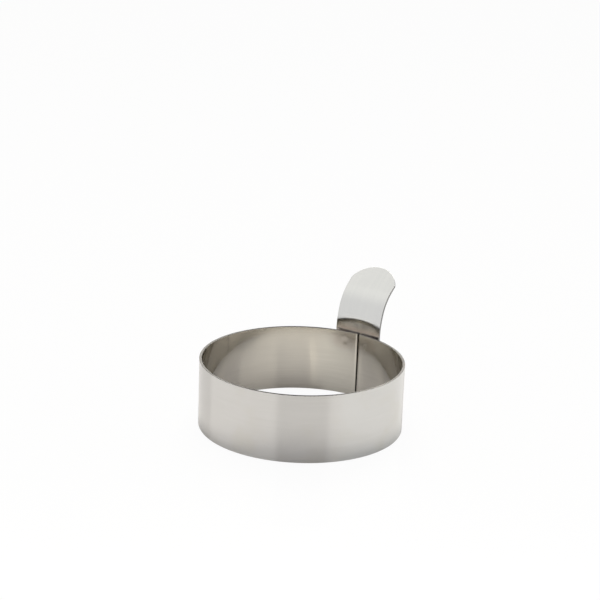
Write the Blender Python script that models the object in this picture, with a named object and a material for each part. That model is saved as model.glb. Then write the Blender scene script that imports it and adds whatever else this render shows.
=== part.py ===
"""Egg ring, three inches across: a rolled steel band and a bent thumb tab, joined by spot welds.

The band's two ends meet in a narrow butt seam. The tab's foot lies over the seam on the outside,
and four weld nuggets, two on each side of the seam, hold both ends to the foot. The welding has
drawn the foot a little round the band, and that curve flattens out in the bend above the rim.
Z is up, the band stands on Z = 0, and the tab leans out towards +Y.
"""

import math

import bmesh
import bpy

MM = 0.001

# Space left between two pieces that touch on the real ring
SEAT_GAP = 0.3 * MM

# The rolled band
BAND_OUTER_DIAMETER = 76.2 * MM
BAND_HEIGHT = 25.4 * MM
BAND_THICKNESS = 0.9 * MM
BAND_EDGE_ROUNDING = 0.12 * MM

# The butt seam, a little to the +X side of the tab's centre line
SEAM_WIDTH = 0.6 * MM
SEAM_SIDE_OFFSET = 0.65 * MM

# The tab: a foot, a short rise above the rim, a bend and a straight lip with a round tip
TAB_WIDTH = 19.5 * MM
TAB_THICKNESS = 0.9 * MM
TAB_EDGE_ROUNDING = 0.12 * MM
FOOT_END_HEIGHT = 1.0 * MM
FOOT_CORNER_RADIUS = 2.5 * MM
RISE_ABOVE_RIM = 3.2 * MM
BEND_FACE_RADIUS = 17.9 * MM
BEND_ANGLE = math.radians(52.0)
LIP_LENGTH = 9.7 * MM
TIP_RISE = 6.7 * MM

# The foot's curve across its width, and the height above the rim over which it flattens out
FOOT_CROSS_RADIUS = 84.0 * MM
FLATTENING_LENGTH = 8.0 * MM

# The spot welds, in two columns and two rows
WELD_COLUMN_SPACING = 10.0 * MM
WELD_BELOW_RIM = 3.9 * MM
WELD_ABOVE_FOOT_END = 4.5 * MM
NUGGET_RADIUS = 1.5 * MM
NUGGET_BITE = 0.12 * MM
ELECTRODE_CROWN_RADIUS = 12.0 * MM
DIMPLE_DEPTH = 0.1 * MM
DIMPLE_CUTTER_RADIUS = 2.6 * MM
DIMPLE_CUTTER_BACK = 0.5 * MM

# Facets
BAND_STEPS = 144
BEND_STEPS = 24
LIP_STEPS = 2
CORNER_STEPS = 6
MIDDLE_STEPS = 10
EDGE_STEPS = 2
TURN_STEPS = 24
NUGGET_RINGS = 6
DIMPLE_RINGS = 3

# Points of a turned solid closer together than this are one point
MERGE_DISTANCE = 0.001 * MM

# Angles that tell an edge from a smooth face
EDGE_ANGLE = math.radians(60.0)
SMOOTH_ANGLE = math.radians(30.0)

# Colours as linear values, and how rough each steel is
BAND_COLOUR = (0.58, 0.56, 0.52)
TAB_COLOUR = (0.66, 0.66, 0.63)
WELD_COLOUR = (0.40, 0.37, 0.33)
BAND_ROUGHNESS = 0.28
TAB_ROUGHNESS = 0.16
WELD_ROUGHNESS = 0.45

BAND_OUTER_RADIUS = BAND_OUTER_DIAMETER / 2
BAND_INNER_RADIUS = BAND_OUTER_RADIUS - BAND_THICKNESS
FOOT_LENGTH = BAND_HEIGHT - FOOT_END_HEIGHT
STRAIGHT_LENGTH = FOOT_LENGTH + RISE_ABOVE_RIM
BEND_LENGTH = BEND_FACE_RADIUS * BEND_ANGLE
BEND_END = STRAIGHT_LENGTH + BEND_LENGTH
TAB_LENGTH = BEND_END + LIP_LENGTH
TIP_RADIUS = (TAB_WIDTH ** 2 / 4 + TIP_RISE ** 2) / (2 * TIP_RISE)


def clear_scene():
    """Removes whatever the scene holds."""
    for item in list(bpy.data.objects):
        bpy.data.objects.remove(item, do_unlink=True)


def steel(name, colour, roughness):
    """A metal material."""
    material = bpy.data.materials.new(name)
    material.use_nodes = True
    shader = material.node_tree.nodes["Principled BSDF"]
    shader.inputs["Base Color"].default_value = (*colour, 1.0)
    shader.inputs["Metallic"].default_value = 1.0
    shader.inputs["Roughness"].default_value = roughness
    return material


def finish_mesh(bm, name):
    """Turns the faces outwards and returns a smooth-shaded mesh with its true edges kept sharp."""
    bmesh.ops.recalc_face_normals(bm, faces=bm.faces)
    mesh = bpy.data.meshes.new(name)
    bm.to_mesh(mesh)
    bm.free()
    mesh.shade_smooth()
    mesh.set_sharp_from_angle(angle=SMOOTH_ANGLE)
    return mesh


def place(name, mesh, parent, location, turn=(0.0, 0.0, 0.0)):
    """Adds an object under the ring's centre."""
    item = bpy.data.objects.new(name, mesh)
    bpy.context.scene.collection.objects.link(item)
    item.parent = parent
    item.location = location
    item.rotation_euler = turn
    return item


def round_edges(item, width):
    """Takes the sharpness off the cut edges of a sheet."""
    bevel = item.modifiers.new("edge_rounding", "BEVEL")
    bevel.width = width
    bevel.segments = EDGE_STEPS
    bevel.limit_method = "ANGLE"
    bevel.angle_limit = EDGE_ANGLE


def cut(item, cutter):
    """Cuts one object's shape out of another."""
    boolean = item.modifiers.new("cut_" + cutter.name, "BOOLEAN")
    boolean.operation = "DIFFERENCE"
    boolean.solver = "EXACT"
    boolean.object = cutter


def turned_mesh(name, profile):
    """A solid turned about Z from (radius, height) points that start and end on the axis."""
    bm = bmesh.new()
    points = [bm.verts.new((radius, 0.0, height)) for radius, height in profile]
    edges = [bm.edges.new(pair) for pair in zip(points, points[1:])]
    bmesh.ops.spin(
        bm,
        geom=points + edges,
        cent=(0.0, 0.0, 0.0),
        axis=(0.0, 0.0, 1.0),
        angle=2 * math.pi,
        steps=TURN_STEPS,
        use_merge=True,
    )
    bmesh.ops.remove_doubles(bm, verts=bm.verts, dist=MERGE_DISTANCE)
    return finish_mesh(bm, name)


def band_mesh():
    """The strip's cross-section swept round from one side of the seam to the other."""
    seam_angle = SEAM_WIDTH / BAND_OUTER_RADIUS
    seam_centre = math.pi / 2 - math.asin(SEAM_SIDE_OFFSET / BAND_OUTER_RADIUS)
    start = seam_centre + seam_angle / 2
    section = [
        (BAND_INNER_RADIUS, 0.0),
        (BAND_OUTER_RADIUS, 0.0),
        (BAND_OUTER_RADIUS, BAND_HEIGHT),
        (BAND_INNER_RADIUS, BAND_HEIGHT),
    ]
    bm = bmesh.new()
    corners = [bm.verts.new((r * math.cos(start), r * math.sin(start), z)) for r, z in section]
    edges = [bm.edges.new((corners[i - 1], corners[i])) for i in range(len(corners))]
    swept = bmesh.ops.spin(
        bm,
        geom=corners + edges,
        cent=(0.0, 0.0, 0.0),
        axis=(0.0, 0.0, 1.0),
        angle=2 * math.pi - seam_angle,
        steps=BAND_STEPS,
    )
    last = [item for item in swept["geom_last"] if isinstance(item, bmesh.types.BMEdge)]
    bmesh.ops.contextual_create(bm, geom=edges)
    bmesh.ops.contextual_create(bm, geom=last)
    return finish_mesh(bm, "ring_band")


def steps(first, last, count):
    """Evenly spaced values from first to last, both of them included."""
    return [first + (last - first) * step / count for step in range(count + 1)]


def tab_path(distance):
    """How far out and up the middle of the ring-side face has come along the tab, and its lean."""
    lean = min(max(distance - STRAIGHT_LENGTH, 0.0), BEND_LENGTH) / BEND_FACE_RADIUS
    beyond = max(distance - BEND_END, 0.0)
    out = BEND_FACE_RADIUS * (1 - math.cos(lean)) + beyond * math.sin(lean)
    up = min(distance, STRAIGHT_LENGTH) + BEND_FACE_RADIUS * math.sin(lean) + beyond * math.cos(lean)
    return out, up, lean


def tab_overhang():
    """How far the tab reaches past the band's outside."""
    out, _, lean = tab_path(TAB_LENGTH)
    return SEAT_GAP + out + TAB_THICKNESS * math.cos(lean)


def foot_rise(side):
    """How much nearer to the ring the foot's face lies at a distance to one side of its middle."""
    return FOOT_CROSS_RADIUS - math.sqrt(FOOT_CROSS_RADIUS ** 2 - side ** 2)


def tab_point(side, distance):
    """A point of the blank's ring-side face, bent to shape."""
    out, up, lean = tab_path(distance)
    flat = min(max((distance - FOOT_LENGTH) / FLATTENING_LENGTH, 0.0), 1.0)
    rise = foot_rise(side) * (1 - flat * flat * (3 - 2 * flat))
    return side, out - rise * math.cos(lean), up + rise * math.sin(lean)


def tab_columns():
    """Distances from the tab's middle, close together where the foot's corners are round."""
    half = TAB_WIDTH / 2
    turns = steps(0.0, math.pi / 2, CORNER_STEPS)
    corner = [half - FOOT_CORNER_RADIUS * (1 - math.cos(turn)) for turn in turns]
    middle = steps(-corner[-1], corner[-1], MIDDLE_STEPS)
    return [-side for side in corner[:-1]] + middle + corner[-2::-1]


def foot_end(side):
    """Where the foot's end lies along the tab."""
    into_corner = max(0.0, abs(side) - (TAB_WIDTH / 2 - FOOT_CORNER_RADIUS))
    return FOOT_CORNER_RADIUS - math.sqrt(max(0.0, FOOT_CORNER_RADIUS ** 2 - into_corner ** 2))


def tip_end(side):
    """Where the tip's arc lies along the tab."""
    return TAB_LENGTH - TIP_RADIUS + math.sqrt(TIP_RADIUS ** 2 - side ** 2)


def tab_rows(side):
    """Distances along the tab of one column's points."""
    bend = steps(FOOT_LENGTH, BEND_END, BEND_STEPS)
    return [foot_end(side), 2 * FOOT_CORNER_RADIUS] + bend[:-1] + steps(BEND_END, tip_end(side), LIP_STEPS)


def tab_mesh():
    """The blank's ring-side face, bent to shape, with its normals towards the ring."""
    bm = bmesh.new()
    grid = [
        [bm.verts.new(tab_point(side, distance)) for distance in tab_rows(side)]
        for side in tab_columns()
    ]
    for left, right in zip(grid, grid[1:]):
        for row in range(len(left) - 1):
            bm.faces.new((left[row], right[row], right[row + 1], left[row + 1]))
    mesh = bpy.data.meshes.new("handle_tab")
    bm.to_mesh(mesh)
    bm.free()
    mesh.shade_smooth()
    return mesh


def band_outside(side):
    """How far the band's outer face lies from the ring's centre plane, at a distance to one side."""
    return math.sqrt(BAND_OUTER_RADIUS ** 2 - side ** 2)


def weld_places():
    """Name, side and height of each spot weld."""
    rows = {"upper": BAND_HEIGHT - WELD_BELOW_RIM, "lower": FOOT_END_HEIGHT + WELD_ABOVE_FOOT_END}
    columns = {"left": -WELD_COLUMN_SPACING / 2, "right": WELD_COLUMN_SPACING / 2}
    return [
        (row + "_" + column, side, height)
        for row, height in rows.items()
        for column, side in columns.items()
    ]


def foot_inside(side):
    """How far the foot's ring-side face lies from the ring's centre plane."""
    return BAND_OUTER_RADIUS + SEAT_GAP - foot_rise(side)


def nugget_depth(side):
    """Half the thickness of a nugget that bites into both sheets."""
    return (foot_inside(side) - band_outside(side)) / 2 + NUGGET_BITE


def lens_profile(radius, depth):
    """An ellipse's half, from pole to pole."""
    angles = [math.pi * (step / NUGGET_RINGS - 0.5) for step in range(NUGGET_RINGS + 1)]
    return [(max(0.0, radius * math.cos(a)), depth * math.sin(a)) for a in angles]


def crown_profile():
    """The domed end of a welding electrode, its pole towards -Z at the dimple's depth."""
    widest = math.asin(DIMPLE_CUTTER_RADIUS / ELECTRODE_CROWN_RADIUS)
    dome = []
    for step in range(DIMPLE_RINGS + 1):
        angle = widest * step / DIMPLE_RINGS
        height = ELECTRODE_CROWN_RADIUS * (1 - math.cos(angle)) - DIMPLE_DEPTH
        dome.append((ELECTRODE_CROWN_RADIUS * math.sin(angle), height))
    return dome + [(DIMPLE_CUTTER_RADIUS, DIMPLE_CUTTER_BACK), (0.0, DIMPLE_CUTTER_BACK)]


def add_cutter(name, mesh, parent, location, turn):
    """A shape that only cuts: it is drawn as wire and never rendered."""
    cutter = place(name, mesh, parent, location, turn)
    cutter.hide_render = True
    cutter.display_type = "WIRE"
    return cutter


def add_weld(parent, band, tab, material, name, side, height):
    """A nugget between the sheets, its pockets in both, and a dimple on each outer face."""
    across = (-math.pi / 2, 0.0, 0.0)
    depth = nugget_depth(side)
    middle = (side, band_outside(side) + depth - NUGGET_BITE, height)
    nugget_mesh = turned_mesh("spot_weld_" + name, lens_profile(NUGGET_RADIUS, depth))
    nugget_mesh.materials.append(material)
    place("spot_weld_" + name, nugget_mesh, parent, middle, across)

    pocket = lens_profile(NUGGET_RADIUS + SEAT_GAP, depth + SEAT_GAP)
    pocket_cutter = add_cutter(
        "pocket_" + name, turned_mesh("pocket_" + name, pocket), parent, middle, across
    )
    cut(band, pocket_cutter)
    cut(tab, pocket_cutter)

    crown = turned_mesh("crown_" + name, crown_profile())
    turn = math.asin(side / BAND_OUTER_RADIUS)
    inside = (BAND_INNER_RADIUS * math.sin(turn), BAND_INNER_RADIUS * math.cos(turn), height)
    cut(band, add_cutter("crown_in_" + name, crown, parent, inside, (math.pi / 2, 0.0, -turn)))
    foot_turn = math.asin(side / FOOT_CROSS_RADIUS)
    outside = (side, foot_inside(side) + TAB_THICKNESS * math.cos(foot_turn), height)
    cut(tab, add_cutter("crown_out_" + name, crown, parent, outside, (-math.pi / 2, 0.0, -foot_turn)))


def add_band(parent, material):
    """The rolled band."""
    mesh = band_mesh()
    mesh.materials.append(material)
    band = place("ring_band", mesh, parent, (0.0, 0.0, 0.0))
    round_edges(band, BAND_EDGE_ROUNDING)
    return band


def add_tab(parent, material):
    """The bent tab, given its thickness away from the ring."""
    mesh = tab_mesh()
    mesh.materials.append(material)
    tab = place("handle_tab", mesh, parent, (0.0, BAND_OUTER_RADIUS + SEAT_GAP, FOOT_END_HEIGHT))
    sheet = tab.modifiers.new("sheet", "SOLIDIFY")
    sheet.thickness = TAB_THICKNESS
    sheet.offset = -1.0
    sheet.use_even_offset = True
    round_edges(tab, TAB_EDGE_ROUNDING)
    return tab


def build():
    """Builds the ring about its own centre, and centres the whole on the origin."""
    clear_scene()
    centre = bpy.data.objects.new("ring_centre", None)
    bpy.context.scene.collection.objects.link(centre)
    centre.location = (0.0, -tab_overhang() / 2, 0.0)
    band = add_band(centre, steel("band_steel", BAND_COLOUR, BAND_ROUGHNESS))
    tab = add_tab(centre, steel("tab_steel", TAB_COLOUR, TAB_ROUGHNESS))
    weld_steel = steel("weld_steel", WELD_COLOUR, WELD_ROUGHNESS)
    for name, side, height in weld_places():
        add_weld(centre, band, tab, weld_steel, name, side, height)
    bpy.context.view_layer.update()


build()
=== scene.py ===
# %% [markdown]
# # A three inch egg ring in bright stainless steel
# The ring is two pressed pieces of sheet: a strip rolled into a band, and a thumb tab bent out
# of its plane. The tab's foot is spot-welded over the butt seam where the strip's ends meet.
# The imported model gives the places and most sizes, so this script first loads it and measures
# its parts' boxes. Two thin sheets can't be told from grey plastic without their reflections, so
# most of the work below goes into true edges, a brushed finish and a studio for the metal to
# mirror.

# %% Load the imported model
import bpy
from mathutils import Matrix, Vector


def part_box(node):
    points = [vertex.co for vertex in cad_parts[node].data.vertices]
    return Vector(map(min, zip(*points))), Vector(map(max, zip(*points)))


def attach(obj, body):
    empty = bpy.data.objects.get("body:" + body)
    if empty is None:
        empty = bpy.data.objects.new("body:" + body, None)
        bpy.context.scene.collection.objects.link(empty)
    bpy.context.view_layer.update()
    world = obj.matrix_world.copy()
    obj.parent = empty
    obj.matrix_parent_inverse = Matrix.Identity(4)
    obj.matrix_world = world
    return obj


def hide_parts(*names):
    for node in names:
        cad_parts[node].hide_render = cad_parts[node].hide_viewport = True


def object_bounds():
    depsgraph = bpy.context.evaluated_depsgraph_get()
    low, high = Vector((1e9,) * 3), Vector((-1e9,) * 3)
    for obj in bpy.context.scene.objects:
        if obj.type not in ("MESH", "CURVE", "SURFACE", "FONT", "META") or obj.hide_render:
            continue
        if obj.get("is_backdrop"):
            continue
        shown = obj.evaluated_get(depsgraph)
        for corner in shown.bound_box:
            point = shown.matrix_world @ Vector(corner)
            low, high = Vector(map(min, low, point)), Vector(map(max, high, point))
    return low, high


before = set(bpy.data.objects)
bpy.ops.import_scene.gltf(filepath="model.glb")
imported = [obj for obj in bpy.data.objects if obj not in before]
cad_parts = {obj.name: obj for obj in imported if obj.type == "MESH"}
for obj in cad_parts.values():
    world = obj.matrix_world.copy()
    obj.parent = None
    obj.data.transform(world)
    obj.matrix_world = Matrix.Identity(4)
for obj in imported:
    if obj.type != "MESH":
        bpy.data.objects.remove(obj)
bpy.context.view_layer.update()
print("CAD nodes:", sorted(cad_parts))

# %% Modules
import math

import bmesh
import bpy
from mathutils import Matrix, Vector

MM = 0.001

# %% [markdown]
# ## What the frame says
# The band's radius, sheet and height, the tab's foot and reach, and the places of the welds are
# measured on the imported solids. The other sizes, such as the tab's width and the bend's radius,
# are written out as they are in the model, since few of them could be read from a box. The
# band's radius is taken from its box, because the visible band is rounder than the solid and
# would otherwise stand a hair outside it.

# %% Measure the band
band_low, band_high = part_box("ring_band")
RING_CENTRE = Vector(((band_low.x + band_high.x) / 2, (band_low.y + band_high.y) / 2, 0.0))
BAND_RADIUS = (band_high.x - band_low.x) / 2
band_reach = [(v.co - RING_CENTRE).xy.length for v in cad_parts["ring_band"].data.vertices]
BAND_SHEET = max(band_reach) - min(band_reach)
BAND_HEIGHT = band_high.z
print(f"band: radius {BAND_RADIUS / MM:.2f}, sheet {BAND_SHEET / MM:.2f} mm")
print(f"band: {BAND_HEIGHT / MM:.2f} mm tall")

# %% Name the seam
SEAM_WIDTH = 0.6 * MM
SEAM_SIDE = 0.65 * MM
EDGE_ROUNDING = 0.05 * MM
seam_turn = SEAM_WIDTH / BAND_RADIUS
STRIP_START = math.pi / 2 - math.asin(SEAM_SIDE / BAND_RADIUS) + seam_turn / 2
STRIP_LENGTH = (2 * math.pi - seam_turn) * BAND_RADIUS
print(f"strip: {STRIP_LENGTH / MM:.1f} mm along its outer face once it is rolled")

# %% Measure the tab
tab_low, tab_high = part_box("handle_tab")
TAB_WIDTH = 19.5 * MM
TAB_SHEET = 0.9 * MM
FOOT_END = tab_low.z
FOOT_CORNER = 2.5 * MM
FOOT_LENGTH = BAND_HEIGHT - FOOT_END
BEND_START = FOOT_LENGTH + 3.2 * MM
BEND_RADIUS = 17.9 * MM
BEND_ANGLE = math.radians(52.0)
BEND_END = BEND_START + BEND_RADIUS * BEND_ANGLE
lip_rise = tab_high.z - FOOT_END - BEND_START - BEND_RADIUS * math.sin(BEND_ANGLE)
TAB_LENGTH = BEND_END + lip_rise / math.cos(BEND_ANGLE)
TIP_RISE = 6.7 * MM
TIP_RADIUS = (TAB_WIDTH ** 2 / 4 + TIP_RISE ** 2) / (2 * TIP_RISE)
FOOT_CROSS_RADIUS = 84.0 * MM
FLATTENING = 8.0 * MM
FOOT_FACE = BAND_RADIUS + 0.3 * MM
print(f"tab: {TAB_WIDTH / MM:.2f} wide, {TAB_LENGTH / MM:.2f} mm along its face")

# %% Find the welds
welds = {}
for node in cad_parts:
    if node.startswith("spot_weld"):
        low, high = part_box(node)
        welds[node] = (low + high) / 2
print("welds:", {name: tuple(round(c / MM, 1) for c in place) for name, place in welds.items()})

# %% [markdown]
# ## One press for both pieces
# Both pieces start as a flat blank, have their cut edges dulled, and are then bent. So one helper
# makes both: it lays a grid over the blank's face and its back, joins them by a rounded rim, and
# hands every point to the piece's own bend. A Solidify and a Bevel would do the same on a coarse
# mesh, but a grid bends smoothly and can carry the shallow dents of the welding electrodes. The
# flat of the rim and the half of each rounding next to it get a second material: sheared steel is
# duller than the rolled face, and its colour is painted darker still, as painted shade that dims
# the highlights of the roundings.

# %% Lay out a blank and press it
RIM_STEPS, TORN_AND_SHADED_STEPS = 4, 2
FACE_SLOT, TORN_AND_SHADED_SLOT = 0, 1


def shares(count):
    return [step / count for step in range(count + 1)]


def pressed_sheet(name, columns, rows, blank, press, sheet, rounding):
    bm = bmesh.new()

    def grid(depth):
        return [
            [bm.verts.new(press(*blank(u, v, rounding), depth)) for v in rows] for u in columns
        ]

    def round_the_rim(inset, depth):
        return [bm.verts.new(press(*blank(u, v, inset), depth)) for u, v in edge]

    def edge_of(points):
        return (
            [column[0] for column in points[:-1]]
            + points[-1][:-1]
            + [column[-1] for column in points[:0:-1]]
            + points[0][:0:-1]
        )

    edge = edge_of([[(u, v) for v in rows] for u in columns])
    face, back = grid(0.0), grid(sheet)
    turns = [math.pi / 2 * share for share in shares(RIM_STEPS)[1:]]
    dulled = [(rounding * (1 - math.sin(a)), rounding * (1 - math.cos(a))) for a in turns]
    loops = [edge_of(face)]
    loops += [round_the_rim(inset, depth) for inset, depth in dulled]
    loops += [round_the_rim(inset, sheet - depth) for inset, depth in reversed(dulled)]
    loops += [edge_of(back)]
    for step, (first, second) in enumerate(zip(loops, loops[1:])):
        from_flat = abs(step - RIM_STEPS)
        for i in range(len(first)):
            strip = bm.faces.new((first[i - 1], first[i], second[i], second[i - 1]))
            strip.material_index = TORN_AND_SHADED_SLOT if from_flat <= TORN_AND_SHADED_STEPS else FACE_SLOT
    for points, flip in ((face, False), (back, True)):
        for left, right in zip(points, points[1:]):
            for j in range(len(rows) - 1):
                corners = (left[j], right[j], right[j + 1], left[j + 1])
                bm.faces.new(corners[::-1] if flip else corners)
    bmesh.ops.recalc_face_normals(bm, faces=bm.faces)
    mesh = bpy.data.meshes.new(name)
    bm.to_mesh(mesh)
    mesh.shade_smooth()
    by_area = [sum((f.normal * f.calc_area() for f in v.link_faces), Vector()) for v in bm.verts]
    mesh.normals_split_custom_set_from_vertices([normal.normalized() for normal in by_area])
    bm.free()
    piece = bpy.data.objects.new(name, mesh)
    bpy.context.scene.collection.objects.link(piece)
    print(name, "has", len(mesh.polygons), "faces")
    return piece


# %% Dents of the welding electrodes
DENT_RADIUS = 1.9 * MM


def dent(side, height, depth):
    deepest = 0.0
    for place in welds.values():
        away = min(1.0, math.hypot(side - place.x, height - place.z) / DENT_RADIUS)
        deepest = max(deepest, depth * (1 - away * away) ** 2)
    return deepest


# %% [markdown]
# ## The band
# The strip is 236 mm long and is rolled until its ends almost meet. Shears leave the inner corner
# of each end rolled over, and that curve is what shows as a bright line beside the dark seam. A
# bevel would make it even all round, so the inner face drops away over the strip's last 0.8 mm
# instead. Columns of points lie close together behind the foot, where the dents and the seam
# are, and wider apart elsewhere.

# %% Roll the band
END_STRETCH, FINE_STRETCH = 1.2 * MM, 14.0 * MM
END_COLUMN, FINE_COLUMN, WIDE_COLUMN = 0.1 * MM, 0.25 * MM, 0.8 * MM
BAND_ROWS = 44
ROLL_OVER, ROLL_DROP = 0.8 * MM, 0.2 * MM
INNER_DENT = 0.03 * MM


def stretch(first, last, column):
    count = round((last - first) / column)
    return [first + (last - first) * share for share in shares(count)[:-1]]


def strip_columns():
    near_end = stretch(0.0, END_STRETCH, END_COLUMN)
    near_end += stretch(END_STRETCH, FINE_STRETCH, FINE_COLUMN)
    middle = stretch(FINE_STRETCH, STRIP_LENGTH - FINE_STRETCH, WIDE_COLUMN)
    far_end = [STRIP_LENGTH - place for place in near_end + [FINE_STRETCH]][::-1]
    return [place / STRIP_LENGTH for place in near_end + middle + far_end]


def strip_blank(u, v, inset):
    return inset + u * (STRIP_LENGTH - 2 * inset), inset + v * (BAND_HEIGHT - 2 * inset)


def roll(along, height, depth):
    turn = STRIP_START + along / BAND_RADIUS
    radius = BAND_RADIUS - depth
    if depth > BAND_SHEET / 2:
        to_end = min(along, STRIP_LENGTH - along)
        radius += ROLL_DROP * max(0.0, 1 - to_end / ROLL_OVER) ** 2
        if radius * math.sin(turn) > 0:
            radius += dent(radius * math.cos(turn), height, INNER_DENT)
    return Vector((radius * math.cos(turn), radius * math.sin(turn), height))


band = pressed_sheet(
    "band", strip_columns(), shares(BAND_ROWS), strip_blank, roll, BAND_SHEET, EDGE_ROUNDING
)
band.location = RING_CENTRE

# %% [markdown]
# ## The tab
# The tab's blank has small round corners at the foot and an arc for a tip. Welding has drawn the
# foot a little round the band, that curve flattens out above the rim, the bend wraps round a
# circle, and the lip runs straight on from it. The electrodes have bitten deeper into the tab's
# outside than into the band's inside. The corner columns crowd towards the edge, because that is
# where the small arcs are.

# %% Bend the tab
CORNER_COLUMNS, MIDDLE_COLUMNS, TAB_ROWS = 8, 40, 120
OUTER_DENT = 0.1 * MM


def tab_columns():
    turns = [math.pi / 2 * share for share in shares(CORNER_COLUMNS)[:-1]]
    corner = [FOOT_CORNER * (1 - math.cos(turn)) for turn in turns]
    middle_width = TAB_WIDTH - 2 * FOOT_CORNER
    middle = [FOOT_CORNER + middle_width * share for share in shares(MIDDLE_COLUMNS)]
    far_corner = [TAB_WIDTH - place for place in corner][::-1]
    return [place / TAB_WIDTH for place in corner + middle + far_corner]


def tab_blank(u, v, inset):
    half = TAB_WIDTH / 2 - inset
    side = (2 * u - 1) * half
    corner = FOOT_CORNER - inset
    past = max(0.0, abs(side) - (half - corner))
    low = FOOT_CORNER - math.sqrt(max(0.0, corner ** 2 - past ** 2))
    tip = TAB_LENGTH - TIP_RADIUS + math.sqrt((TIP_RADIUS - inset) ** 2 - side ** 2)
    return side, low + v * (tip - low)


def bend(side, along, depth):
    lean = min(max(along - BEND_START, 0.0) / BEND_RADIUS, BEND_ANGLE)
    beyond = max(along - BEND_END, 0.0)
    out = BEND_RADIUS * (1 - math.cos(lean)) + beyond * math.sin(lean)
    up = min(along, BEND_START) + BEND_RADIUS * math.sin(lean) + beyond * math.cos(lean)
    on_outside = depth > TAB_SHEET / 2
    flat = min(max((along - FOOT_LENGTH) / FLATTENING, 0.0), 1.0)
    drawn = 1 - flat * flat * (3 - 2 * flat)
    depth -= drawn * (FOOT_CROSS_RADIUS - math.sqrt(FOOT_CROSS_RADIUS ** 2 - side ** 2))
    if on_outside:
        depth -= dent(side, FOOT_END + up, OUTER_DENT)
    away = FOOT_FACE + out + depth * math.cos(lean)
    return Vector((side, away, FOOT_END + up - depth * math.sin(lean)))


tab = pressed_sheet(
    "tab", tab_columns(), shares(TAB_ROWS), tab_blank, bend, TAB_SHEET, EDGE_ROUNDING
)
tab.location = RING_CENTRE

# %% [markdown]
# ## Shader maths as plain Python
# A material is a web of nodes. The Wire class below wraps one output of a node, so that a sum or a
# product of wires adds the Math node that works it out. Every other node comes from Recipe.add,
# and a few short helpers name the ones that come again and again.

# %% Wires and recipes


class Wire:
    def __init__(self, recipe, socket):
        self.recipe = recipe
        self.socket = socket

    def maths(self, operation, *others, first=None):
        kind = "ShaderNodeMath"
        values = [self if first is None else first, *others]
        if self.socket.type == "VECTOR":
            kind = "ShaderNodeVectorMath"
            values = [(value,) * 3 if isinstance(value, float) else value for value in values]
        return self.recipe.add(kind, {"operation": operation}, dict(enumerate(values)))

    def __add__(self, other):
        return self.maths("ADD", other)

    __radd__ = __add__

    def __sub__(self, other):
        return self.maths("SUBTRACT", other)

    def __rsub__(self, other):
        return self.maths("SUBTRACT", self, first=other)

    def __mul__(self, other):
        return self.maths("MULTIPLY", other)

    __rmul__ = __mul__


class Recipe:
    def __init__(self, tree):
        self.tree = tree

    def add(self, kind, settings=None, inputs=None, output=0):
        node = self.tree.nodes.new(kind)
        for name, value in (settings or {}).items():
            setattr(node, name, value)
        for name, value in (inputs or {}).items():
            self.feed(node.inputs[name], value)
        return Wire(self, node.outputs[output]) if node.outputs else None

    def feed(self, socket, value):
        if isinstance(value, Wire):
            self.tree.links.new(value.socket, socket)
        else:
            socket.default_value = value


# %% [markdown]
# ## Short names for common nodes
# The Mix node has a set of sockets for every kind of value, several with the same name, so its
# colour sockets are found by their number.

# %% Common nodes
MIX_SHARE, MIX_FIRST, MIX_SECOND, MIX_RESULT = 0, 6, 7, 2
NOISE_DETAIL = 2.0


def blend(recipe, share, first, second):
    first, second = [c if isinstance(c, Wire) else (*c, 1.0) for c in (first, second)]
    inputs = {MIX_SHARE: share, MIX_FIRST: first, MIX_SECOND: second}
    return recipe.add("ShaderNodeMix", {"data_type": "RGBA"}, inputs, MIX_RESULT)


def smooth_step(recipe, value, low, high):
    settings = {"interpolation_type": "SMOOTHSTEP"}
    inputs = {"Value": value, "From Min": low, "From Max": high}
    return recipe.add("ShaderNodeMapRange", settings, inputs)


def dot(recipe, first, second):
    settings, inputs = {"operation": "DOT_PRODUCT"}, {0: first, 1: second}
    return recipe.add("ShaderNodeVectorMath", settings, inputs, "Value")


def length(recipe, vector):
    return recipe.add("ShaderNodeVectorMath", {"operation": "LENGTH"}, {0: vector}, "Value")


def place_on_piece(recipe):
    return recipe.add("ShaderNodeTexCoord", output="Object")


def noise(recipe, vector, detail=NOISE_DETAIL):
    return recipe.add("ShaderNodeTexNoise", {}, {"Vector": vector, "Scale": 1.0, "Detail": detail})


def is_camera_ray(recipe):
    return recipe.add("ShaderNodeLightPath", output="Is Camera Ray")


# %% [markdown]
# ## A metal to start from
# Every finish here is a Principled metal. What is the same all over, such as how far the highlight
# is stretched, is set on the shader itself, and what changes over the surface is fed by nodes.
# The helper hands back the material, its sockets and a recipe, so each finish below only says
# what is special.

# %% Make a metal


def metal(name, roughness, anisotropy=0.0, turn=0.0):
    material = bpy.data.materials.new(name)
    material.use_nodes = True
    shader = material.node_tree.nodes["Principled BSDF"]
    shader.inputs["Metallic"].default_value = 1.0
    shader.inputs["Roughness"].default_value = roughness
    shader.inputs["Anisotropic"].default_value = anisotropy
    shader.inputs["Anisotropic Rotation"].default_value = turn
    print(f"{name}: roughness {roughness}, highlight stretched by {anisotropy}")
    return material, shader.inputs, Recipe(material.node_tree)


def ridges(recipe, height, depth):
    return recipe.add("ShaderNodeBump", {}, {"Height": height, "Strength": 1.0, "Distance": depth})


# %% [markdown]
# ## Heat tint and painted shade
# Welding leaves a film on the steel round each nugget: brown close by, then a blue-grey ring that
# fades out and is darker on the tab. On the tab that dark ring is painted shade as well as tint: it
# darkens the tab's root, where the tab mirrors the dim inside of the ring. It shows at the upper
# pair, right under the tab's root, and it reaches further sideways than upwards. A painted map
# could show it, but a distance to the nearest weld finds the same place on both pieces and follows
# the welds when they move. The faces that look out from the ring, where the other electrode
# pressed, keep only a share of it. A fade is given by the distance at which the film starts to thin
# and the one at which it ends.

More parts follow.
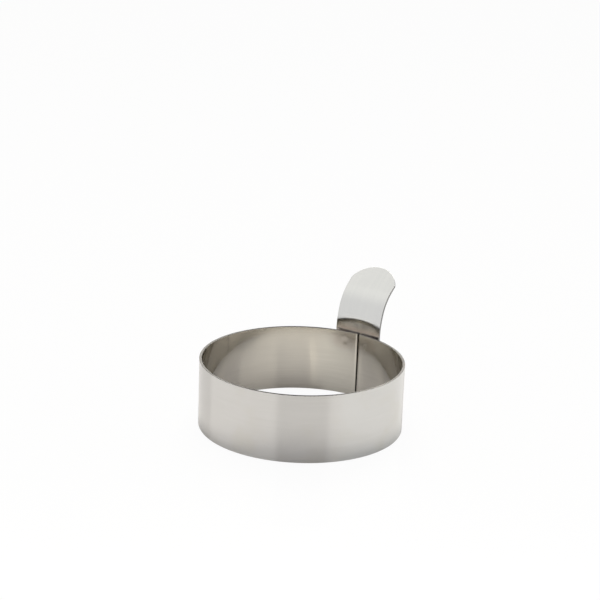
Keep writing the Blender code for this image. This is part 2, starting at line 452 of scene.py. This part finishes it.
# %% Tint and painted shade round the upper welds
BACK_HEAT = 0.3
HEAT_SQUEEZE = (0.6, 1.0, 1.0)
FAR_TINT_START, FAR_TINT_FULL = 0.5, 0.8
PATCH_SCALE, PATCH_CONTRAST, THINNEST_PATCH = 350.0, (0.2, 0.8), 0.6
TURN_AWAY = 0.2


def heat_tint_and_shade(recipe, place, colour, fade, near_tint, far_tint_and_shade):
    nearest = 1.0
    for spot in welds.values():
        if spot.z > BAND_HEIGHT / 2:
            away = length(recipe, (place - tuple(spot - RING_CENTRE)) * HEAT_SQUEEZE)
            nearest = away.maths("MINIMUM", nearest)
    fade_start, fade_end = fade
    further = smooth_step(recipe, nearest, FAR_TINT_START * fade_end, FAR_TINT_FULL * fade_end)
    tint = blend(recipe, further, near_tint, far_tint_and_shade)
    patches = smooth_step(recipe, noise(recipe, place * PATCH_SCALE), *PATCH_CONTRAST)
    patchy = patches * (1.0 - THINNEST_PATCH) + THINNEST_PATCH
    normal = recipe.add("ShaderNodeNewGeometry", output="Normal")
    inwards = dot(recipe, normal, (0.0, -1.0, 0.0))
    faces_in = smooth_step(recipe, inwards, -TURN_AWAY, TURN_AWAY)
    heat = (1.0 - smooth_step(recipe, nearest, fade_start, fade_end)) * patchy
    return blend(recipe, heat * (faces_in * (1.0 - BACK_HEAT) + BACK_HEAT), colour, tint)


# %% [markdown]
# ## The band's brushed steel
# The strip was polished with a belt before it was rolled, so fine lines run round the band. They
# stretch every highlight upwards, which the shader's anisotropy does without modelling a line, and
# the turn of 0.25 lays that stretch across the lines. The lines are also drawn, as noise squeezed
# flat, in colour, roughness and a bump of a thousandth of a millimetre. The inside is a little
# smoother than the outside, which has been handled more. Its colour is painted a little darker and
# yellower, as painted shade and the warm cast of light that bounces round inside the ring.

# %% Lines of the belt
BAND_STRETCH, GRAIN_TURN = 0.5, 0.25
OUTER_ROUGHNESS, INNER_ROUGHNESS, GRAIN_ROUGHNESS = 0.14, 0.10, 0.04
COARSE_GRAIN, FINE_GRAIN, COARSE_SHARE = (25.0, 25.0, 900.0), (60.0, 60.0, 5000.0), 0.35
GRAIN_DEPTH = 0.001 * MM
band_steel, band_shader, recipe = metal("brushed_band", OUTER_ROUGHNESS, BAND_STRETCH, GRAIN_TURN)
on_band = place_on_piece(recipe)
coarse_lines = noise(recipe, on_band * COARSE_GRAIN)
fine_lines = noise(recipe, on_band * FINE_GRAIN)
grain = coarse_lines * COARSE_SHARE + fine_lines * (1.0 - COARSE_SHARE)
from_axis = length(recipe, on_band * (1.0, 1.0, 0.0))
half_way, change_over = BAND_RADIUS - BAND_SHEET / 2, 0.1 * BAND_SHEET
outside = smooth_step(recipe, from_axis, half_way - change_over, half_way + change_over)
smoothest = INNER_ROUGHNESS - GRAIN_ROUGHNESS / 2
roughness = outside * (OUTER_ROUGHNESS - INNER_ROUGHNESS) + smoothest
recipe.feed(band_shader["Roughness"], roughness + grain * GRAIN_ROUGHNESS)
recipe.feed(band_shader["Normal"], ridges(recipe, grain, GRAIN_DEPTH))

# %% Colour of the band
LINE_CONTRAST = (0.3, 0.7)
OUTER_LIGHT, OUTER_DARK = (0.65, 0.64, 0.62), (0.615, 0.605, 0.585)
# Painted shade: the inside is painted darker and yellower than the outside, for the dim, warm light
# inside the ring.
INNER_SHADED_LIGHT, INNER_SHADED_DARK = (0.635, 0.61, 0.555), (0.585, 0.56, 0.505)
STAIN, STAIN_STRENGTH, STAIN_CONTRAST = (0.60, 0.58, 0.53), 0.6, (0.5, 0.75)
STAIN_SCALE, STAIN_DETAIL = 90.0, 3.0
BAND_FADE = (1.2 * MM, 6.0 * MM)
BAND_BROWN, BAND_BLUE = (0.50, 0.46, 0.41), (0.50, 0.48, 0.45)
shine = smooth_step(recipe, grain, *LINE_CONTRAST)
outer_colour = blend(recipe, shine, OUTER_DARK, OUTER_LIGHT)
stains = noise(recipe, on_band * STAIN_SCALE, STAIN_DETAIL)
handled = smooth_step(recipe, stains, *STAIN_CONTRAST) * STAIN_STRENGTH
outer_colour = blend(recipe, handled, outer_colour, STAIN)
inner_shaded_colour = blend(recipe, shine, INNER_SHADED_DARK, INNER_SHADED_LIGHT)
band_colour = blend(recipe, outside, inner_shaded_colour, outer_colour)
band_colour = heat_tint_and_shade(recipe, on_band, band_colour, BAND_FADE, BAND_BROWN, BAND_BLUE)
recipe.feed(band_shader["Base Color"], band_colour)
band.data.materials.append(band_steel)

# %% [markdown]
# ## The tab's bright steel
# The tab is cut from bright rolled sheet and keeps the rolls' mirror finish, with faint lines along
# its length and the smudges of a thumb. Its surface is never quite flat, so a slow noise bends the
# mirror image a little. A plain low roughness would look like chrome instead.

# %% Bright tab
TAB_ROUGHNESS, CLEAN_LESS, SMUDGE_MORE = 0.13, 0.02, 0.06
TAB_GRAIN = (2500.0, 30.0, 30.0)
TAB_LIGHT, TAB_DARK = (0.80, 0.80, 0.78), (0.775, 0.775, 0.76)
SMUDGE_SCALE, SMUDGE_DETAIL, SMUDGE_CONTRAST = 160.0, 4.0, (0.45, 0.75)
WAVE_SCALE, WAVE_DEPTH, LINES_IN_WAVES = 120.0, 0.02 * MM, 0.02
TAB_FADE = (7.8 * MM, 9.8 * MM)
# Painted shade as well as heat tint: the dark blue-grey darkens the tab's root, where it mirrors
# the dim inside of the ring.
TAB_BROWN, TAB_BLUE_SHADE = (0.52, 0.465, 0.435), (0.34, 0.34, 0.35)
tab_steel, tab_shader, recipe = metal("bright_tab", TAB_ROUGHNESS)
on_tab = place_on_piece(recipe)
tab_lines = noise(recipe, on_tab * TAB_GRAIN)
smudges = noise(recipe, on_tab * SMUDGE_SCALE, SMUDGE_DETAIL)
tab_colour = blend(recipe, smooth_step(recipe, tab_lines, *LINE_CONTRAST), TAB_DARK, TAB_LIGHT)
tab_colour = heat_tint_and_shade(recipe, on_tab, tab_colour, TAB_FADE, TAB_BROWN, TAB_BLUE_SHADE)
recipe.feed(tab_shader["Base Color"], tab_colour)
smudged = smooth_step(recipe, smudges, *SMUDGE_CONTRAST)
recipe.feed(tab_shader["Roughness"], smudged * SMUDGE_MORE + (TAB_ROUGHNESS - CLEAN_LESS))
waves = noise(recipe, on_tab * WAVE_SCALE) + tab_lines * LINES_IN_WAVES
recipe.feed(tab_shader["Normal"], ridges(recipe, waves, WAVE_DEPTH))
tab.data.materials.append(tab_steel)

# %% [markdown]
# ## Cut edges
# Shears tear the last part of the sheet's thickness, so each edge is rougher and duller than the
# face, with fine marks across it. Those marks stretch its highlight along the edge. Its colour is
# painted far darker than steel, as painted shade, so that the thin rim shows as a dark line against
# a white ground, where a bright edge would vanish. It is a second material slot on both pieces,
# given to the rim's faces as they were built.

# %% Torn steel with painted shade
CUT_ROUGHNESS, CUT_STRETCH = 0.2, 0.95
# Painted shade: these colours are darker than any steel, so the rim reads as a dark line.
CUT_LIGHT, CUT_DARK = (0.27, 0.265, 0.255), (0.205, 0.20, 0.195)
TORN_SCALE, TORN_DETAIL, TORN_CONTRAST, TORN_DEPTH = 900.0, 3.0, (0.35, 0.65), 0.002 * MM
cut_steel, cut_shader, recipe = metal("cut_edge", CUT_ROUGHNESS, CUT_STRETCH)
torn = noise(recipe, place_on_piece(recipe) * TORN_SCALE, TORN_DETAIL)
torn_and_shaded_colour = blend(recipe, smooth_step(recipe, torn, *TORN_CONTRAST), CUT_DARK, CUT_LIGHT)
recipe.feed(cut_shader["Base Color"], torn_and_shaded_colour)
recipe.feed(cut_shader["Normal"], ridges(recipe, torn, TORN_DEPTH))
band.data.materials.append(cut_steel)
tab.data.materials.append(cut_steel)

# %% [markdown]
# ## Weld nuggets
# The nuggets are cast metal between the two sheets, dull and brown, and hardly show. The packed
# solids already have their shape, so they stay and only get their finish.

# %% Weld metal
WELD_ROUGHNESS, WELD_LIGHT, WELD_DARK = 0.5, (0.42, 0.36, 0.30), (0.24, 0.20, 0.17)
RIPPLE_SCALE, RIPPLE_DETAIL, RIPPLE_DEPTH = 1500.0, 3.0, 0.02 * MM
weld_steel, weld_shader, recipe = metal("weld_metal", WELD_ROUGHNESS)
ripples = noise(recipe, place_on_piece(recipe) * RIPPLE_SCALE, RIPPLE_DETAIL)
recipe.feed(weld_shader["Base Color"], blend(recipe, ripples, WELD_DARK, WELD_LIGHT))
recipe.feed(weld_shader["Normal"], ridges(recipe, ripples, RIPPLE_DEPTH))
for name in welds:
    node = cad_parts[name]
    node.data.materials.clear()
    node.data.materials.append(weld_steel)
print(len(welds), "nuggets coated")

# %% [markdown]
# ## Set the pieces on the frame
# Nothing on the ring moves, so both pieces ride on the one body and stand in for the plain solids
# that they were measured from.

# %% Ride and replace
for piece, node in ((band, "ring_band"), (tab, "handle_tab")):
    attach(piece, "root")
    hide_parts(node)

# %% [markdown]
# ## The table
# The ring stands on a glossy white sheet, as on a photographer's table. The camera sees it nearly
# as pure white, with a share of real paint left so that the ring keeps its shadow. The metal sees
# the real paint alone, with the dark front of the room mirrored in its gloss. That gives the band
# its darker middle, which plain white for the metal would wash out. The sheet lies a hair under
# the ring, so that the two never share a plane.

# %% White table
FLOOR_HALF, FLOOR_DROP = 3.0, 0.05 * MM
FLOOR_WHITE, FLOOR_ROUGHNESS, FLOOR_IOR = 0.85, 0.07, 1.8
CAMERA_SHARE = 0.94
floor_mesh = bpy.data.meshes.new("floor")
corners = [(x * FLOOR_HALF, y * FLOOR_HALF, 0.0) for x, y in ((-1, -1), (1, -1), (1, 1), (-1, 1))]
floor_mesh.from_pydata(corners, [], [(0, 1, 2, 3)])
floor = bpy.data.objects.new("floor", floor_mesh)
bpy.context.scene.collection.objects.link(floor)
floor.location = (0.0, 0.0, -FLOOR_DROP)
floor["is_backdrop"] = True

floor_paint = bpy.data.materials.new("white_table")
floor_paint.use_nodes = True
floor_paint.node_tree.nodes.clear()
recipe = Recipe(floor_paint.node_tree)
gloss_white = {
    "Base Color": (FLOOR_WHITE, FLOOR_WHITE, FLOOR_WHITE, 1.0),
    "Roughness": FLOOR_ROUGHNESS,
    "IOR": FLOOR_IOR,
}
paint = recipe.add("ShaderNodeBsdfPrincipled", {}, gloss_white)
white = recipe.add("ShaderNodeEmission", {}, {"Color": (1.0, 1.0, 1.0, 1.0)})
share = is_camera_ray(recipe) * CAMERA_SHARE
table = recipe.add("ShaderNodeMixShader", {}, {0: share, 1: paint, 2: white})
recipe.add("ShaderNodeOutputMaterial", {}, {"Surface": table})
floor_mesh.materials.append(floor_paint)
print(f"table: {2 * FLOOR_HALF:.0f} m wide, {CAMERA_SHARE:.0%} plain white to the camera")

# %% [markdown]
# ## Lights
# Metal shows what stands round it, so the light is a room of soft-edged panels in the world's own
# background. Boxes behind and overhead give most of the light. A low pale surround runs round the
# room, cooler on the right, dim behind the ring and dark where the photographer stands, with a
# white card on the left. What no panel covers is a plain shade. Lamp objects would give hard edges
# in the metal. Bearings count from the photographer to the left, and each panel is given by its
# middle, half width, lowest and highest angle, soft edge and light. A panel covers the ones before.

# %% Panels of light
CAMERA_TURN = math.radians(33.8)
HALF_CIRCLE = 180
SHADE = (0.27, 0.27, 0.27)
PANELS = {
    "low surround": (180, HALF_CIRCLE, -20, 28, 5, (0.74, 0.74, 0.73)),
    "cool wall on the right": (-100, 55, -20, 28, 5, (0.92, 0.98, 1.0)),
    "dim wall behind": (160, 40, -20, 28, 5, (0.07, 0.075, 0.085)),
    "dark front": (-3, 29, -20, 30, 5, (0.04, 0.04, 0.04)),
    "card on the left": (77, 22, -20, 60, 5, (0.80, 0.80, 0.80)),
    "card's upper end": (102, 48, 42, 70, 14, (0.93, 0.93, 0.91)),
    "box behind": (180, 30, 28, 70, 5, (4.7, 4.53, 4.2)),
    "box overhead": (180, HALF_CIRCLE, 70, 95, 5, (3.35, 3.2, 3.2)),
}
world = bpy.data.worlds.new("studio")
bpy.context.scene.world = world
world.use_nodes = True
recipe = Recipe(world.node_tree)
direction = recipe.add("ShaderNodeTexCoord", output="Generated")
to_camera = (math.sin(CAMERA_TURN), -math.cos(CAMERA_TURN), 0.0)
to_left = (-math.cos(CAMERA_TURN), -math.sin(CAMERA_TURN), 0.0)
bearing = dot(recipe, direction, to_left).maths("ARCTAN2", dot(recipe, direction, to_camera))
height = dot(recipe, direction, (0.0, 0.0, 1.0)).maths("ARCSINE")
bearing, height = bearing * math.degrees(1.0), height * math.degrees(1.0)


def between(value, low, high, edge):
    rise = smooth_step(recipe, value, low - edge, low + edge)
    return rise * (1.0 - smooth_step(recipe, value, high - edge, high + edge))


# %% Hang the panels
room = recipe.add("ShaderNodeRGB")
room.socket.default_value = (*SHADE, 1.0)
for name, (middle, half, low, high, edge, light) in PANELS.items():
    panel = between(height, low, high, edge)
    if half < HALF_CIRCLE:
        from_middle = (bearing - float(middle)).maths("WRAP", 180.0, -180.0)
        panel = panel * between(from_middle, -half, half, edge)
    room = blend(recipe, panel, room, light)
    print(f"{name}: {2 * half} degrees wide, {low} to {high} degrees up, light {light}")
seen = blend(recipe, is_camera_ray(recipe), room, (1.0, 1.0, 1.0))
recipe.feed(world.node_tree.nodes["Background"].inputs["Color"], seen)

# %% [markdown]
# ## Camera
# The camera was found by laying the ring's two rim ellipses over the photograph's. It stands 0.67 m
# away and looks 18 degrees down with a long lens. It is leaned a little, because the photograph is.

# %% Camera
EYE_BACK, EYE_UP, EYE_SIDE = 625.54 * MM, 250.58 * MM, -1.62 * MM
LOOK_DOWN = math.radians(17.91)
CAMERA_ROLL = math.radians(2.056)
FOCAL_PIXELS, PICTURE_PIXELS = 1793.9, 600
SENSOR_WIDTH = 36.0

camera_data = bpy.data.cameras.new("camera")
camera = bpy.data.objects.new("camera", camera_data)
bpy.context.scene.collection.objects.link(camera)
bpy.context.scene.camera = camera
camera_data.sensor_width = SENSOR_WIDTH
camera_data.lens = SENSOR_WIDTH * FOCAL_PIXELS / PICTURE_PIXELS
camera_data.clip_start, camera_data.clip_end = 0.01, 20.0
turn = Matrix.Rotation(CAMERA_TURN, 4, "Z")
eye = RING_CENTRE + turn @ Vector((EYE_SIDE, -EYE_BACK, EYE_UP))
aim = Matrix.Rotation(math.pi / 2 - LOOK_DOWN, 4, "X")
camera.matrix_world = Matrix.Translation(eye) @ turn @ aim @ Matrix.Rotation(CAMERA_ROLL, 4, "Z")
print(f"camera: {camera_data.lens:.0f} mm lens, {eye.length:.2f} m away")

# %% [markdown]
# ## Colour and bounces
# The plain view transform keeps every colour as it was mixed. Inside a shiny ring light bounces
# many times before it leaves, and each lost bounce would darken the wall, so more bounces are
# allowed than usual.

# %% View and bounces
BOUNCES = 24
bpy.context.scene.view_settings.view_transform = "Standard"
bpy.context.scene.cycles.max_bounces = BOUNCES
bpy.context.scene.cycles.glossy_bounces = BOUNCES

# %% [markdown]
# ## The visible box
# The box round the visible ring is printed in millimetres. The visible ring has to stay inside
# the imported model's box.

# %% Print the visible box
bpy.context.view_layer.update()
low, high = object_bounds()
print("visible box, mm:", [round(c / MM, 2) for c in (*low, *high)])
